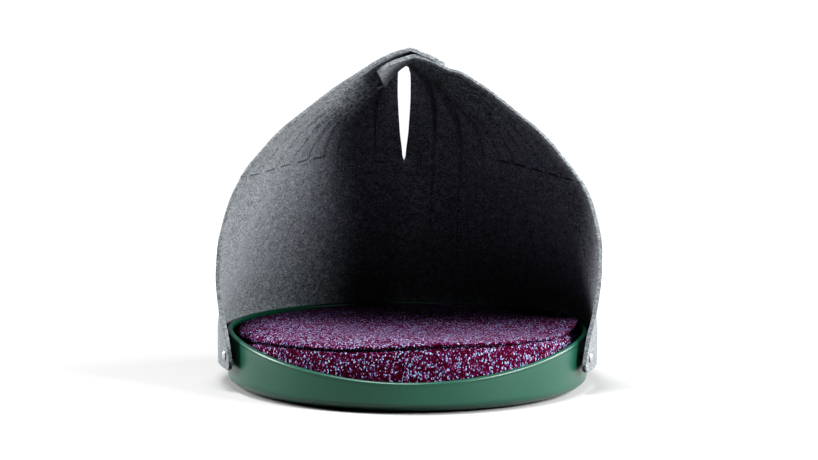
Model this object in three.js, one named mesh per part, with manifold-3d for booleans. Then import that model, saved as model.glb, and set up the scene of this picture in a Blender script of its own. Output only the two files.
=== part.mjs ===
// A cat bed with a felt hood on a bowl-shaped tray. Millimetres, +Z up, +X to the right, front at -Y.
// The origin is the middle of the tray's flat underside.
import * as THREE from "three";
import { mergeVertices } from "three/addons/utils/BufferGeometryUtils.js";
import Module from "manifold-3d";

const wasm = await Module();
wasm.setup();

// Driving sizes of the tray.
const TRAY_R = 196;
const TRAY_WALL = 5;
const TRAY_FLOOR = 4;
const TRAY_CORNER_R = 28;
const TRAY_CORNER_H = 12;
const RIM_FRONT = 32.75;
const RIM_BACK = 62.6;
const RIM_POWER = 1.95;

// Driving sizes of the hood.
const FELT = 4.5;
const GORES = 9;
const HEM_Z = 25;
const HEM_HALF_WIDTH = 204.8;
const HEM_BACK = 200.6;
const LEAN_FROM_Z = 62;
const FRONT_Y = -80;
const HEM_FRONT_Y = -85;
const FOOT_ROUND = 11;
const GORE_SPREAD = 1.3;
const HEM_LENGTH = 404 * GORE_SPREAD;
const STRAP_REAR_Y = -45;
const STRAP_REAR_Z = 350;
const STRAP_FRONT_Z = 362.3;
const UPPER_LIFT = 1.4;
const LOWER_DROP = 4.9;
const TONGUE_OVER = 35;
const TONGUE_UNDER = 36;
const TONGUE_UNDER_REAR = 28;

// Driving sizes of the cushion and the two press studs.
const CUSHION_R = 187.5;
const CUSHION_BASE_Z = 4.4;
const STUD_CAP_R = 4.8;
const STUD_SHANK_R = 2.6;
const STUD_Z = 41;
const STUD_Y = -66;
const CLEAR = 0.3;

// Half-width of the hood's front edge by height.
const FRONT_EDGE = [
  { z: 25, x: 185 },
  { z: 60, x: 190.5 },
  { z: 88, x: 197 },
  { z: 111, x: 200.3 },
  { z: 125, x: 201.3 },
  { z: 154, x: 200.4 },
  { z: 179, x: 195.8 },
  { z: 206, x: 188 },
  { z: 230, x: 176.5 },
];

// The crease in plan and height, from the back (share 0) to the front edge (share 1), a row for
// each gore line. Below it the wall leans out to the round hem.
const CREASE = [
  { share: 0, x: 0, y: 120, z: 243 },
  { share: 1 / 9, x: 33.8, y: 115, z: 243 },
  { share: 2 / 9, x: 61, y: 101, z: 243 },
  { share: 3 / 9, x: 83.5, y: 79, z: 242.6 },
  { share: 4 / 9, x: 99.5, y: 54, z: 241.8 },
  { share: 5 / 9, x: 115, y: 27.5, z: 240.2 },
  { share: 6 / 9, x: 131.5, y: 1.2, z: 237.5 },
  { share: 7 / 9, x: 148, y: -25.3, z: 234.3 },
  { share: 8 / 9, x: 163, y: -52.4, z: 231 },
  { share: 1, x: 176.5, y: -80, z: 229 },
];

// Rise of a flap from its crease to the strap: across and up, both as shares.
const RISE = [
  { across: 0, up: 0 },
  { across: 0.033, up: 0.068 },
  { across: 0.083, up: 0.148 },
  { across: 0.208, up: 0.336 },
  { across: 0.382, up: 0.527 },
  { across: 0.57, up: 0.715 },
  { across: 0.733, up: 0.843 },
  { across: 0.814, up: 0.904 },
  { across: 0.904, up: 0.962 },
  { across: 1, up: 1 },
];

// Half-width of the slit at the back, from its foot to the strap.
const SLIT = [
  { across: 0, half: 2.6 },
  { across: 0.15, half: 5.4 },
  { across: 0.32, half: 6.5 },
  { across: 0.5, half: 7.1 },
  { across: 0.7, half: 6.5 },
  { across: 0.85, half: 5 },
  { across: 1, half: 1.6 },
];

const lerp = (a, b, t) => a + (b - a) * t;
const clamp01 = (t) => Math.min(1, Math.max(0, t));

function smooth(a, b, x) {
  const t = clamp01((x - a) / (b - a));
  return t * t * (3 - 2 * t);
}

// Smooth curve through a table's rows, without overshoot. A flat start has no slope at the first row.
function curve(rows, xKey, yKey, flatStart = false) {
  const x = rows.map((r) => r[xKey]);
  const y = rows.map((r) => r[yKey]);
  const n = rows.length;
  const step = [];
  for (let i = 0; i < n - 1; i++) step.push((y[i + 1] - y[i]) / (x[i + 1] - x[i]));
  const slope = y.map((_, i) => {
    if (i === 0) return flatStart ? 0 : step[0];
    if (i === n - 1) return step[n - 2];
    if (step[i - 1] * step[i] <= 0) return 0;
    return (2 * step[i - 1] * step[i]) / (step[i - 1] + step[i]);
  });
  return (at) => {
    let i = 0;
    while (i < n - 2 && at > x[i + 1]) i++;
    const w = x[i + 1] - x[i];
    const t = (at - x[i]) / w;
    const t2 = t * t;
    const t3 = t2 * t;
    return (
      (2 * t3 - 3 * t2 + 1) * y[i] +
      (t3 - 2 * t2 + t) * w * slope[i] +
      (3 * t2 - 2 * t3) * y[i + 1] +
      (t3 - t2) * w * slope[i + 1]
    );
  };
}

const frontX = curve(FRONT_EDGE, "z", "x");
const creaseX = curve(CREASE, "share", "x");
const creaseY = curve(CREASE, "share", "y", true);
const creaseHeight = curve(CREASE, "share", "z", true);
const CREASE_FRONT = CREASE[CREASE.length - 1];
const riseUp = curve(RISE, "across", "up");
const slitHalf = curve(SLIT, "across", "half");

// Triangle soup from a list of quads and triangles, each a list of points.
function soup(faces) {
  const out = [];
  for (const f of faces) {
    for (let k = 1; k < f.length - 1; k++) {
      for (const p of [f[0], f[k], f[k + 1]]) out.push(p.x, p.y, p.z);
    }
  }
  const g = new THREE.BufferGeometry();
  g.setAttribute("position", new THREE.BufferAttribute(new Float32Array(out), 3));
  return mergeVertices(g, 1e-4);
}

function toSolid(geometry) {
  const g = geometry.clone();
  g.deleteAttribute("normal");
  g.deleteAttribute("uv");
  const m = mergeVertices(g, 1e-4);
  return new wasm.Manifold(
    new wasm.Mesh({
      numProp: 3,
      vertProperties: m.attributes.position.array,
      triVerts: new Uint32Array(m.index.array),
    }),
  );
}

function fromSolid(solid) {
  const mesh = solid.getMesh();
  const g = new THREE.BufferGeometry();
  g.setAttribute("position", new THREE.BufferAttribute(new Float32Array(mesh.vertProperties), 3));
  g.setIndex(new THREE.BufferAttribute(new Uint32Array(mesh.triVerts), 1));
  return g;
}

// Closed turned body whose profile may change with the angle. profile(angle) lists {r, z} from the
// middle underneath, round the outside, to the middle on top; the first and last rows have r = 0.
function turned(profile, segments) {
  const cols = [];
  for (let i = 0; i < segments; i++) {
    const a = (2 * Math.PI * i) / segments;
    const rows = profile(a);
    cols.push(rows.map((p) => new THREE.Vector3(p.r * Math.cos(a), p.r * Math.sin(a), p.z)));
  }
  const faces = [];
  for (let i = 0; i < segments; i++) {
    const a = cols[i];
    const b = cols[(i + 1) % segments];
    const last = a.length - 1;
    faces.push([a[0], b[1], a[1]]);
    for (let j = 1; j < last - 1; j++) {
      faces.push([a[j], b[j], b[j + 1]]);
      faces.push([a[j], b[j + 1], a[j + 1]]);
    }
    faces.push([a[last - 1], b[last - 1], a[last]]);
  }
  return soup(faces);
}

// Rim height round the tray: low in the front, level at the sides and the back.
function rimHeight(angle) {
  const toFront = Math.max(0, -Math.sin(angle));
  return RIM_FRONT + (RIM_BACK - RIM_FRONT) * (1 - Math.pow(toFront, RIM_POWER));
}

function trayProfile(angle) {
  const rim = rimHeight(angle);
  const lip = TRAY_WALL / 2;
  const inner = TRAY_R - TRAY_WALL;
  const rows = [{ r: 0, z: 0 }];
  for (let k = 0; k <= 5; k++) {
    const a = (Math.PI / 2) * (k / 5);
    rows.push({
      r: TRAY_R - TRAY_CORNER_R + TRAY_CORNER_R * Math.sin(a),
      z: TRAY_CORNER_H * (1 - Math.cos(a)),
    });
  }
  rows.push({ r: TRAY_R, z: lerp(TRAY_CORNER_H, rim - lip, 0.5) });
  for (let k = 0; k <= 4; k++) {
    const a = Math.PI * (k / 4);
    rows.push({ r: TRAY_R - lip + lip * Math.cos(a), z: rim - lip + lip * Math.sin(a) });
  }
  const fillet = 12;
  rows.push({ r: inner, z: lerp(TRAY_FLOOR + fillet, rim - lip, 0.4) });
  for (let k = 0; k <= 3; k++) {
    const a = (Math.PI / 2) * (k / 3);
    rows.push({
      r: inner - fillet + fillet * Math.cos(a),
      z: TRAY_FLOOR + fillet - fillet * Math.sin(a),
    });
  }
  rows.push({ r: 0, z: TRAY_FLOOR });
  return rows;
}

// Cushion: flat underneath, upright sides, a seam groove, then a crowned top panel.
function cushionProfile(angle) {
  const swell = 1.6 * Math.sin(2 * angle + 0.6) + 1.2 * Math.sin(3 * angle - 1);
  const rows = [
    { r: 0, z: CUSHION_BASE_Z },
    { r: CUSHION_R - 18, z: CUSHION_BASE_Z },
    { r: CUSHION_R - 9, z: CUSHION_BASE_Z + 3 },
    { r: CUSHION_R - 2.2, z: CUSHION_BASE_Z + 11 },
    { r: CUSHION_R, z: 26 },
    { r: CUSHION_R - 0.6, z: 40 },
    { r: CUSHION_R - 2.6, z: 49 },
    { r: CUSHION_R - 6.5, z: 52.5 },
    { r: CUSHION_R - 6.2, z: 54.5 },
    { r: CUSHION_R - 5.5, z: 57 },
    { r: CUSHION_R - 9, z: 60.5 + 0.5 * swell },
    { r: CUSHION_R - 22, z: 65 + 0.8 * swell },
    { r: CUSHION_R - 50, z: 67.5 + swell },
    { r: CUSHION_R - 95, z: 67 + 0.8 * swell },
    { r: CUSHION_R - 145, z: 65.4 + 0.4 * swell },
    { r: 0, z: 64.8 },
  ];
  return rows;
}

// Height of the crease, a little higher on the left.
function creaseZ(side, u) {
  return creaseHeight(u) - side * 1.4 * smooth(0, 0.16, u);
}

// Hem height: level, with the front corner rounded.
function hemZ(u) {
  const along = (1 - u) * HEM_LENGTH;
  const d = Math.max(0, FOOT_ROUND - along);
  return HEM_Z + FOOT_ROUND - Math.sqrt(Math.max(0, FOOT_ROUND * FOOT_ROUND - d * d));
}

// Round plan of the hem with its front edge at half-width front, by share u of its length.
const planCache = new Map();
function roundPlan(z) {
  const key = z.toFixed(4);
  if (planCache.has(key)) return planCache.get(key);
  const front = frontX(Math.min(z, CREASE_FRONT.z));
  const frontY = lerp(HEM_FRONT_Y, FRONT_Y, smooth(25, 90, z));
  const pts = [];
  for (let k = 0; k <= 90; k++) {
    const a = (Math.PI / 2) * (k / 90);
    pts.push([HEM_HALF_WIDTH * Math.sin(a), HEM_BACK * Math.cos(a)]);
  }
  for (let k = 1; k <= 30; k++) {
    const s = k / 30;
    pts.push([HEM_HALF_WIDTH + (front - HEM_HALF_WIDTH) * s * s, frontY * s]);
  }
  const len = [0];
  for (let k = 1; k < pts.length; k++) {
    len.push(len[k - 1] + Math.hypot(pts[k][0] - pts[k - 1][0], pts[k][1] - pts[k - 1][1]));
  }
  const plan = { pts, len };
  planCache.set(key, plan);
  return plan;
}

// Point of the wall in plan at height z. Gores are narrow at the back of the hem and wide in front,
// so that a gore line runs straight from the hem to its place on the crease.
function onWall(side, u, z) {
  const { pts, len } = roundPlan(z);
  const at = Math.pow(u, GORE_SPREAD) * len[len.length - 1];
  let k = 0;
  while (k < len.length - 2 && at > len[k + 1]) k++;
  const t = (at - len[k]) / (len[k + 1] - len[k]);
  const hx = lerp(pts[k][0], pts[k + 1][0], t);
  const hy = lerp(pts[k][1], pts[k + 1][1], t);
  const rise = clamp01((z - LEAN_FROM_Z) / (creaseZ(side, u) - LEAN_FROM_Z));
  const lean = (1.05 * rise * rise) / (rise + 0.05);
  const bulge = (frontX(Math.min(z, CREASE_FRONT.z)) - CREASE_FRONT.x) * smooth(0.8, 1, u);
  return [lerp(hx, creaseX(u) + bulge, lean), lerp(hy, creaseY(u), lean)];
}

// End of the flap profile of share u at the strap.
function strapPoint(u) {
  const w = 0.35 * u + 0.65 * Math.pow(u, 2.4);
  return [lerp(STRAP_REAR_Y, FRONT_Y, w), lerp(STRAP_REAR_Z, STRAP_FRONT_Z, w)];
}

// Middle surface of a flap, across = 0 at the crease and 1 at the strap, for the right-hand side.
// The folds near the slit stay nearly parallel to it and turn in towards the strap only higher up.
function flap(side, u, across) {
  const cz = creaseZ(side, u);
  const [sy, sz] = strapPoint(u);
  const bow = 1 + 3.45 * Math.exp(-u / 0.145);
  const x = creaseX(u) * (1 - Math.pow(clamp01(across), bow));
  const slit = slitHalf(clamp01(across)) * (1 - smooth(0, 0.11, u));
  return [x + slit, lerp(creaseY(u), sy, across), lerp(cz, sz, riseUp(across))];
}

// Height of the flap surface over a point of the plan, found by halving steps on share u.
function flapHeight(side, x, y) {
  let low = 0;
  let high = 1;
  let found = [0, 0, 0];
  for (let n = 0; n < 22; n++) {
    const u = (low + high) / 2;
    let a = 0;
    let b = 1;
    for (let m = 0; m < 22; m++) {
      const c = (a + b) / 2;
      if (flap(side, u, c)[0] > x) a = c;
      else b = c;
    }
    found = flap(side, u, (a + b) / 2);
    if (found[1] > y) low = u;
    else high = u;
  }
  return found[2];
}

// Relief of the folds in a flap, out of the sheet.
function foldRelief(u, across) {
  const t = (u * GORES) % 1;
  const saw = t < 0.88 ? t / 0.88 : (1 - t) / 0.12;
  const edge = smooth(0, 0.06, u) * (1 - smooth(0.95, 1, u));
  const along = smooth(0.02, 0.45, across) * (1 - smooth(0.62, 0.8, across));
  return (saw - 0.5) * 2.4 * edge * along;
}

// Rise of the left flap over the right one where they overlap, and the drop of the right one.
function layerShift(side, across) {
  if (side < 0) return UPPER_LIFT * smooth(0.45, 0.85, across);
  return -LOWER_DROP * smooth(0.7, 0.8, across);
}

// Tongue past the strap line, far = 0 at the line and 1 at the end. The left one lies on the right
// flap, and the right one hangs under the left flap, shorter and lower at the rear.
function tongue(side, u, far) {
  const [sy] = strapPoint(u);
  const front = (STRAP_REAR_Y - sy) / (STRAP_REAR_Y - FRONT_Y);
  const reach = side < 0 ? TONGUE_OVER : lerp(TONGUE_UNDER_REAR, TONGUE_UNDER, front);
  const x = lerp(slitHalf(1), reach, far);
  const middle = (STRAP_REAR_Y + FRONT_Y) / 2;
  const y = lerp(middle, sy, 1 - 0.14 * Math.pow(far, 6));
  const other = flapHeight(-side, Math.max(x, 1.7), y) + layerShift(-side, 1 - x / CREASE_FRONT.x);
  const step = UPPER_LIFT + LOWER_DROP;
  const droop = side < 0 ? 0 : lerp(3.5, 0.5, front) * far * far;
  return [x, y, other - side * step - droop];
}

// Middle surface of the whole sheet. v runs 0 to 1 from hem to crease, 1 to 2 up the flap, 2 to 3
// along the tongue.
function sheet(side, u, v) {
  if (v <= 1) {
    const cz = creaseZ(side, u);
    const z = lerp(hemZ(u), cz, v);
    const [x, y] = onWall(side, u, z);
    const open = slitHalf(0) * smooth(0.95, 1, v) * (1 - smooth(0, 0.11, u));
    return new THREE.Vector3(side * (x + open), y, z);
  }
  if (v <= 2) {
    const [x, y, z] = flap(side, u, v - 1);
    return new THREE.Vector3(side * x, y, z + layerShift(side, v - 1));
  }
  const [x, y, z] = tongue(side, u, clamp01(v - 2));
  return new THREE.Vector3(-side * x, y, z);
}

// Columns from the back to the front edge: four to each gore, closer at the fold and the front edge.
function columnShares() {
  const list = [];
  for (let g = 0; g < GORES; g++) {
    for (const t of [0, 0.3, 0.6, 0.88]) {
      if (g < GORES - 1 || t < 0.7) list.push((g + t) / GORES);
    }
  }
  for (const fromEdge of [12, 6.5, 2.2, 0]) list.push(1 - fromEdge / HEM_LENGTH);
  return list;
}

const WALL_ROWS = [0, 0.08, 0.17, 0.24, 0.33, 0.44, 0.56, 0.68, 0.8, 0.94, 1];
const FLAP_ROWS = [0.035, 0.09, 0.17, 0.27, 0.38, 0.5, 0.62, 0.73, 0.83, 0.92, 1];
const TONGUE_ROWS = [0.25, 0.5, 0.75, 0.93, 1];

function hoodSolid() {
  const us = columnShares();
  const vs = [
    ...WALL_ROWS,
    ...FLAP_ROWS.map((r) => 1 + r),
    ...TONGUE_ROWS.map((r) => 2 + r),
  ];
  const split = WALL_ROWS.length - 2;
  const layers = {};
  for (const side of [-1, 1]) {
    const outer = [];
    const inner = [];
    us.forEach((u, i) => {
      outer.push([]);
      inner.push([]);
      vs.forEach((v, j) => {
        const e = 1e-3;
        const p = sheet(side, u, v);
        const seam = i === 0 && j <= split;
        const du = sheet(side, Math.min(1, u + e), v);
        if (seam) {
          du.sub(sheet(-side, e, v));
        } else {
          du.sub(sheet(side, Math.max(0, u - e), v));
        }
        const low = v > 2 ? Math.max(2.001, v - 2 * e) : v - e;
        const dv = sheet(side, u, Math.min(3, v + e)).sub(sheet(side, u, Math.max(0, low)));
        const n = new THREE.Vector3().crossVectors(du, dv).normalize();
        if (side < 0) n.negate();
        if (seam) {
          p.x = 0;
          n.x = 0;
          n.normalize();
        }
        const out = n;
        if (v > 1 && v <= 2) p.addScaledVector(out, foldRelief(u, v - 1));
        outer[i].push(p.clone().addScaledVector(out, FELT / 2));
        inner[i].push(p.clone().addScaledVector(out, -FELT / 2));
      });
    });
    layers[side] = { outer, inner };
  }
  // Points shared by both halves below the slit.
  for (let j = 0; j <= split; j++) {
    for (const name of ["outer", "inner"]) {
      const a = layers[-1][name][0][j];
      const b = layers[1][name][0][j];
      const m = a.clone().add(b).multiplyScalar(0.5);
      m.x = 0;
      layers[-1][name][0][j] = m;
      layers[1][name][0][j] = m;
    }
  }
  const faces = [];
  const quad = (a, b, c, d, flip) => faces.push(flip ? [d, c, b, a] : [a, b, c, d]);
  const last = us.length - 1;
  const top = vs.length - 1;
  for (const side of [-1, 1]) {
    const { outer, inner } = layers[side];
    const flip = side < 0;
    for (let i = 0; i < last; i++) {
      for (let j = 0; j < top; j++) {
        quad(outer[i][j], outer[i + 1][j], outer[i + 1][j + 1], outer[i][j + 1], flip);
        quad(inner[i][j], inner[i][j + 1], inner[i + 1][j + 1], inner[i + 1][j], flip);
      }
      quad(outer[i][0], inner[i][0], inner[i + 1][0], outer[i + 1][0], flip);
      quad(outer[i][top], outer[i + 1][top], inner[i + 1][top], inner[i][top], flip);
    }
    for (let j = 0; j < top; j++) {
      quad(outer[last][j], inner[last][j], inner[last][j + 1], outer[last][j + 1], flip);
      if (j >= split) quad(outer[0][j], outer[0][j + 1], inner[0][j + 1], inner[0][j], flip);
    }
  }
  return toSolid(soup(faces));
}

// Point and outward direction of the hood at the stud.
function studSeat(side) {
  let low = 0.8;
  let high = 1;
  for (let n = 0; n < 30; n++) {
    const u = (low + high) / 2;
    if (onWall(side, u, STUD_Z)[1] > STUD_Y) low = u;
    else high = u;
  }
  const v = (STUD_Z - HEM_Z) / (creaseZ(side, low) - HEM_Z);
  const p = sheet(side, low, v);
  const a = sheet(side, low - 0.01, v);
  const b = sheet(side, low + 0.01, v);
  const t = b.sub(a).setZ(0).normalize();
  const n = new THREE.Vector3(t.y, -t.x, 0);
  if (n.x * side < 0) n.negate();
  return { p, n };
}

// Cylinder or turned body along direction n, from point p.
function alongAxis(profile, p, n, segments) {
  const g = turned(() => profile, segments);
  const q = new THREE.Quaternion().setFromUnitVectors(new THREE.Vector3(0, 0, 1), n);
  g.applyQuaternion(q);
  g.translate(p.x, p.y, p.z);
  return g;
}

// Distance from the stud seat in to the tray wall, along the stud.
function toTray(seat) {
  const reach = (d) => Math.hypot(seat.p.x - seat.n.x * d, seat.p.y - seat.n.y * d);
  let d = 0;
  while (reach(d) > TRAY_R && d < 30) d += 0.02;
  return d;
}

function studGeometry(side) {
  const seat = studSeat(side);
  const inward = toTray(seat) - CLEAR - 0.05;
  const face = FELT / 2 + CLEAR + 0.1;
  return alongAxis(
    [
      { r: 0, z: -inward },
      { r: STUD_SHANK_R, z: -inward },
      { r: STUD_SHANK_R, z: face },
      { r: STUD_CAP_R, z: face },
      { r: STUD_CAP_R, z: face + 0.8 },
      { r: STUD_CAP_R - 1, z: face + 1.7 },
      { r: 0, z: face + 2.1 },
    ],
    seat.p,
    seat.n,
    24,
  );
}

function holeSolid(side) {
  const seat = studSeat(side);
  const r = STUD_SHANK_R + CLEAR;
  return toSolid(
    alongAxis(
      [
        { r: 0, z: -5 },
        { r, z: -5 },
        { r, z: 5 },
        { r: 0, z: 5 },
      ],
      seat.p,
      seat.n,
      24,
    ),
  );
}

function material(color, roughness, metalness) {
  return new THREE.MeshStandardMaterial({ color, roughness, metalness });
}

function named(name, geometry, mat) {
  geometry.computeVertexNormals();
  const mesh = new THREE.Mesh(geometry, mat);
  mesh.name = name;
  return mesh;
}

const hood = hoodSolid().subtract(holeSolid(-1)).subtract(holeSolid(1));

const bed = new THREE.Group();
bed.name = "hooded_cat_bed";
bed.add(named("tray", turned(trayProfile, 80), material(0x2c5c47, 0.3, 0)));
bed.add(named("cushion", turned(cushionProfile, 52), material(0x5a1e40, 0.9, 0)));
bed.add(named("hood", fromSolid(hood), material(0x6b6f74, 0.95, 0)));
bed.add(named("stud_left", studGeometry(-1), material(0xb8babd, 0.35, 1)));
bed.add(named("stud_right", studGeometry(1), material(0xb8babd, 0.35, 1)));

export default bed;
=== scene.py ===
# A cat bed with a felt hood on a bowl-shaped tray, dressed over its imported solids.
# Sizes are in millimetres up to mesh_object, which turns them into the scene's metres.
import math

import bpy
import bmesh
import numpy as np
from mathutils import Matrix, Vector


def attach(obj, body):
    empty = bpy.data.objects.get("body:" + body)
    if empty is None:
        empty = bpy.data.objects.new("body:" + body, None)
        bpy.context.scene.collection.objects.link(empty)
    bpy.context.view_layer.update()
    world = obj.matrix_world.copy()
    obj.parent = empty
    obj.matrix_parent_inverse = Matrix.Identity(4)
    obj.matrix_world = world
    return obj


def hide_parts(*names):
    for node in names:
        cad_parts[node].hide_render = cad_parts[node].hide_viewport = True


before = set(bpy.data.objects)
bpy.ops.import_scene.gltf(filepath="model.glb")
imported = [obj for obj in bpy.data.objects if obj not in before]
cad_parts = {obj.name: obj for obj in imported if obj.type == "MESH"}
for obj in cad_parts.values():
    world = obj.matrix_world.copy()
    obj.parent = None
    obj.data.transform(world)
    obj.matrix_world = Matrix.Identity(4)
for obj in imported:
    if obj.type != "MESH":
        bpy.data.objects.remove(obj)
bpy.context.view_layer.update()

MM = 0.001

# Sizes, in millimetres, repeated from the solids.
TRAY_R = 196.0
TRAY_WALL = 5.0
TRAY_FLOOR = 4.0
TRAY_CORNER_R = 28.0
TRAY_CORNER_H = 12.0
RIM_FRONT = 32.75
RIM_BACK = 62.6
RIM_POWER = 1.95
FELT = 4.5
GORES = 9
HEM_Z = 25.0
HEM_HALF_WIDTH = 204.8
HEM_BACK = 200.6
LEAN_FROM_Z = 62.0
FRONT_Y = -80.0
HEM_FRONT_Y = -85.0
FOOT_ROUND = 11.0
GORE_SPREAD = 1.3
HEM_LENGTH = 404.0 * GORE_SPREAD
CREASE_SIDE_DROP = 1.4
STRAP_REAR_Y = -45.0
STRAP_FRONT_Z = 362.3
UPPER_LIFT = 1.4
TONGUE_UNDER = 36.0
TONGUE_UNDER_REAR = 28.0
CUSHION_R = 187.5
CUSHION_BASE_Z = 4.4

# Sizes that follow the photograph more closely than the solids do.
STRAP_REAR_Z = 355.5
LOWER_DROP = 5.4
TONGUE_OVER = 33.0
TONGUE_SLANT = 34
TONGUE_DROOP_REAR = 13.0
TONGUE_DROOP_FRONT = 3.5
TONGUE_GAP = 0.8
SLIT_ASIDE = -8.3
TOP_ASIDE = 2.7
STUD_Z = 40.5
STUD_Y = -73.0

# Half-width of the hood's front edge by height: height, half-width.
FRONT_EDGE = np.array([
    (25, 185), (60, 190.5), (88, 197), (111, 200.3), (125, 201.3),
    (154, 200.4), (179, 195.8), (206, 188), (230, 176.5),
])

# The crease at each gore line, from the back to the front edge: x, y, z.
CREASE = np.array([
    (0, 120, 243), (33.8, 115, 243), (61, 101, 243), (83.5, 79, 242.6), (99.5, 54, 241.8),
    (115, 27.5, 240.2), (131.5, 1.2, 237.5), (148, -25.3, 234.3), (163, -52.4, 231), (176.5, -80, 229),
])

# Rise of a flap from the crease to the strap: share across, share up.
RISE = np.array([
    (0, 0), (0.033, 0.068), (0.083, 0.148), (0.208, 0.336), (0.382, 0.527),
    (0.57, 0.715), (0.733, 0.843), (0.814, 0.904), (0.904, 0.962), (1, 1),
])

# Half-width of the slit at the back, a little wider than in the solids: share across, half-width.
SLIT = np.array([
    (0, 2.6), (0.15, 5.6), (0.32, 7.0), (0.5, 7.7), (0.62, 7.6), (0.7, 7.3),
    (0.78, 6.3), (0.85, 4.9), (0.91, 3.4), (0.96, 2.1), (1, 1.4),
])


def lerp(a, b, t):
    return a + (b - a) * t


def unit(a):
    return a / np.maximum(1e-9, np.linalg.norm(a, axis=-1, keepdims=True))


def smooth(a, b, x):
    t = np.clip((x - a) / (b - a), 0, 1)
    return t * t * (3 - 2 * t)


def curve(x, y, flat_start=False):
    """Smooth curve through points, without overshoot, as a function of arrays."""
    x = np.asarray(x, float)
    y = np.asarray(y, float)
    step = np.diff(y) / np.diff(x)
    slope = np.empty(len(x))
    slope[0] = 0 if flat_start else step[0]
    slope[-1] = step[-1]
    a, b = step[:-1], step[1:]
    both = a * b > 0
    slope[1:-1] = np.where(both, 2 * a * b / np.where(both, a + b, 1), 0)

    def at(v):
        v = np.asarray(v, float)
        i = np.clip(np.searchsorted(x, v, side="right") - 1, 0, len(x) - 2)
        w = x[i + 1] - x[i]
        t = (v - x[i]) / w
        t2, t3 = t * t, t * t * t
        return (
            (2 * t3 - 3 * t2 + 1) * y[i]
            + (t3 - 2 * t2 + t) * w * slope[i]
            + (3 * t2 - 2 * t3) * y[i + 1]
            + (t3 - t2) * w * slope[i + 1]
        )

    return at


shares = np.arange(GORES + 1) / GORES
front_x = curve(FRONT_EDGE[:, 0], FRONT_EDGE[:, 1])
crease_x = curve(shares, CREASE[:, 0])
crease_y = curve(shares, CREASE[:, 1], True)
crease_height = curve(shares, CREASE[:, 2], True)
rise_up = curve(RISE[:, 0], RISE[:, 1])
slit_half = curve(SLIT[:, 0], SLIT[:, 1])


def ripple(x, y, z, waves):
    """Sum of slow waves through space, for unevenness: each is a wave vector, a phase and a height."""
    out = 0
    for kx, ky, kz, phase, height in waves:
        out = out + height * np.sin(kx * x + ky * y + kz * z + phase)
    return out


def waves(seed, count, longest, shortest, height):
    rng = np.random.default_rng(seed)
    made = []
    for _ in range(count):
        length = math.exp(rng.uniform(math.log(shortest), math.log(longest)))
        d = rng.normal(size=3)
        d *= 2 * math.pi / length / np.linalg.norm(d)
        phase = rng.uniform(0, 2 * math.pi)
        size = height * rng.uniform(0.5, 1) * (length / longest) ** 0.7
        made.append((*d, phase, size))
    return made


# Meshes


def mesh_object(name, points, faces, node=None):
    mesh = bpy.data.meshes.new(name)
    mesh.from_pydata((np.asarray(points) * MM).tolist(), [], faces)
    bm = bmesh.new()
    bm.from_mesh(mesh)
    bmesh.ops.remove_doubles(bm, verts=bm.verts, dist=1e-7)
    bmesh.ops.recalc_face_normals(bm, faces=bm.faces)
    for f in bm.faces:
        f.smooth = True
    bm.to_mesh(mesh)
    bm.free()
    obj = bpy.data.objects.new(name, mesh)
    bpy.context.scene.collection.objects.link(obj)
    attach(obj, "root")
    if node:
        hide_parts(node)
    return obj


def turned(profile, segments):
    """Closed turned body: profile(angles) gives r and z arrays, rows by angles, from the middle
    underneath to the middle on top; the first and last row are single points."""
    angles = 2 * np.pi * np.arange(segments) / segments
    r, z = profile(angles)
    rows = r.shape[0]
    x, y = r * np.cos(angles), r * np.sin(angles)
    pts = [(0, 0, float(z[0].mean()))]
    for j in range(1, rows - 1):
        pts += list(zip(x[j], y[j], z[j]))
    pts.append((0, 0, float(z[-1].mean())))
    top = len(pts) - 1
    faces = []
    for i in range(segments):
        k = (i + 1) % segments
        faces.append((0, 1 + k, 1 + i))
        for j in range(rows - 3):
            a, b = 1 + j * segments, 1 + (j + 1) * segments
            faces.append((a + i, a + k, b + k, b + i))
        last = 1 + (rows - 3) * segments
        faces.append((last + i, last + k, top))
    return pts, faces


# Hood


def crease_z(side, u):
    return crease_height(u) - side * CREASE_SIDE_DROP * smooth(0, 0.16, u)


def hem_z(u):
    d = np.maximum(0, FOOT_ROUND - (1 - u) * HEM_LENGTH)
    return HEM_Z + FOOT_ROUND - np.sqrt(np.maximum(0, FOOT_ROUND**2 - d * d))


def round_plan(z):
    front = float(front_x(min(z, FRONT_EDGE[-1, 0] - 1)))
    front_y = lerp(HEM_FRONT_Y, FRONT_Y, float(smooth(25, 90, z)))
    a = np.linspace(0, np.pi / 2, 91)
    s = np.arange(1, 31) / 30
    x = np.concatenate([HEM_HALF_WIDTH * np.sin(a), HEM_HALF_WIDTH + (front - HEM_HALF_WIDTH) * s * s])
    y = np.concatenate([HEM_BACK * np.cos(a), front_y * s])
    run = np.concatenate([[0], np.cumsum(np.hypot(np.diff(x), np.diff(y)))])
    return x, y, run / run[-1]


PLAN_Z = np.linspace(20, 250, 47)
PLANS = [round_plan(z) for z in PLAN_Z]


def on_round(u, z):
    at = np.power(np.clip(u, 0, 1), GORE_SPREAD)
    xs = np.stack([np.interp(at, p[2], p[0]) for p in PLANS])
    ys = np.stack([np.interp(at, p[2], p[1]) for p in PLANS])
    f = np.clip((z - PLAN_Z[0]) / (PLAN_Z[1] - PLAN_Z[0]), 0, len(PLAN_Z) - 1.001)
    i = f.astype(int)
    t = f - i
    x = np.take_along_axis(xs, i[None], 0)[0] * (1 - t) + np.take_along_axis(xs, i[None] + 1, 0)[0] * t
    y = np.take_along_axis(ys, i[None], 0)[0] * (1 - t) + np.take_along_axis(ys, i[None] + 1, 0)[0] * t
    return x, y


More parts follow.
